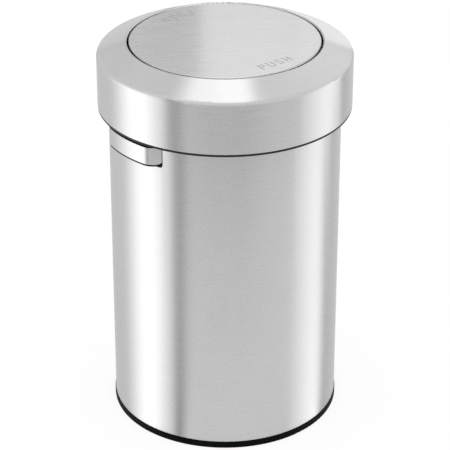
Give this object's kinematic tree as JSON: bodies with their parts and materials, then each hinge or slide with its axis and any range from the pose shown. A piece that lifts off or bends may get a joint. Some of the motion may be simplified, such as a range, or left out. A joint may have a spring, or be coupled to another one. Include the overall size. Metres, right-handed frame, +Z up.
{
  "type": "trash can",
  "caption": "Tall round brushed-steel waste can with a black foot ring, side carrying handles and a lift-off lid whose flush round flap swings either way on a weighted pivot.",
  "frame": {"origin": "on the floor under the can's axis, at the underside of the base pads", "axes": "+Z up along the can's axis; the push marks face -Y and +Y; the carrying handles are on -X and +X; the flap turns about X"},
  "size_m": [0.415, 0.415, 0.6585],
  "materials": {
    "brushed_steel": "satin",
    "pan_steel": "satin",
    "zinc_steel": "satin",
    "weight_steel": "satin",
    "black_plastic": "satin",
    "nylon": "satin",
    "rubber": "matte"
  },
  "bodies": {
    "bin": {"body_shell": "brushed_steel", "bottom_pan": "pan_steel", "base_ring": "black_plastic", "base_pads": "rubber", "base_screws": "zinc_steel", "rim_collar": "black_plastic", "handle_cup_left": "black_plastic", "handle_cup_right": "black_plastic", "handle_grip_left": "black_plastic", "handle_grip_right": "black_plastic", "handle_plate_left": "brushed_steel", "handle_plate_right": "brushed_steel", "grip_screws": "zinc_steel", "handle_studs": "zinc_steel", "handle_nuts": "zinc_steel"},
    "lid": {"lid_cover": "brushed_steel", "lid_liner": "black_plastic", "lid_frame": "black_plastic", "lid_throat": "black_plastic", "cover_studs": "zinc_steel", "cover_nuts": "zinc_steel", "lid_gasket": "rubber", "bearing_block_left": "black_plastic", "bearing_block_right": "black_plastic", "bearing_bush_left": "nylon", "bearing_bush_right": "nylon", "bearing_screws": "zinc_steel", "swing_stops": "rubber"},
    "flap": {"flap_disc": "brushed_steel", "flap_pan": "black_plastic", "disc_studs": "zinc_steel", "disc_nuts": "zinc_steel", "pivot_boss_left": "black_plastic", "pivot_boss_right": "black_plastic", "pivot_pin_left": "zinc_steel", "pivot_pin_right": "zinc_steel", "pivot_spacer_left": "nylon", "pivot_spacer_right": "nylon", "pin_clip_left": "zinc_steel", "pin_clip_right": "zinc_steel", "stop_cam_left": "zinc_steel", "stop_cam_right": "zinc_steel", "weight_hanger_left": "zinc_steel", "weight_hanger_right": "zinc_steel", "counterweight": "weight_steel", "weight_bolts": "zinc_steel", "weight_nuts": "zinc_steel"}
  },
  "joints": [
    {"name": "lid_lift", "type": "slide", "parent": "bin", "child": "lid", "axis": [0, 0, 1], "range_m": [0, 0.16]},
    {"name": "flap_swing", "type": "hinge", "parent": "lid", "child": "flap", "pos_m": [0, 0, 0.6415], "axis": [1, 0, 0], "range_deg": [-75, 75]}
  ]
}
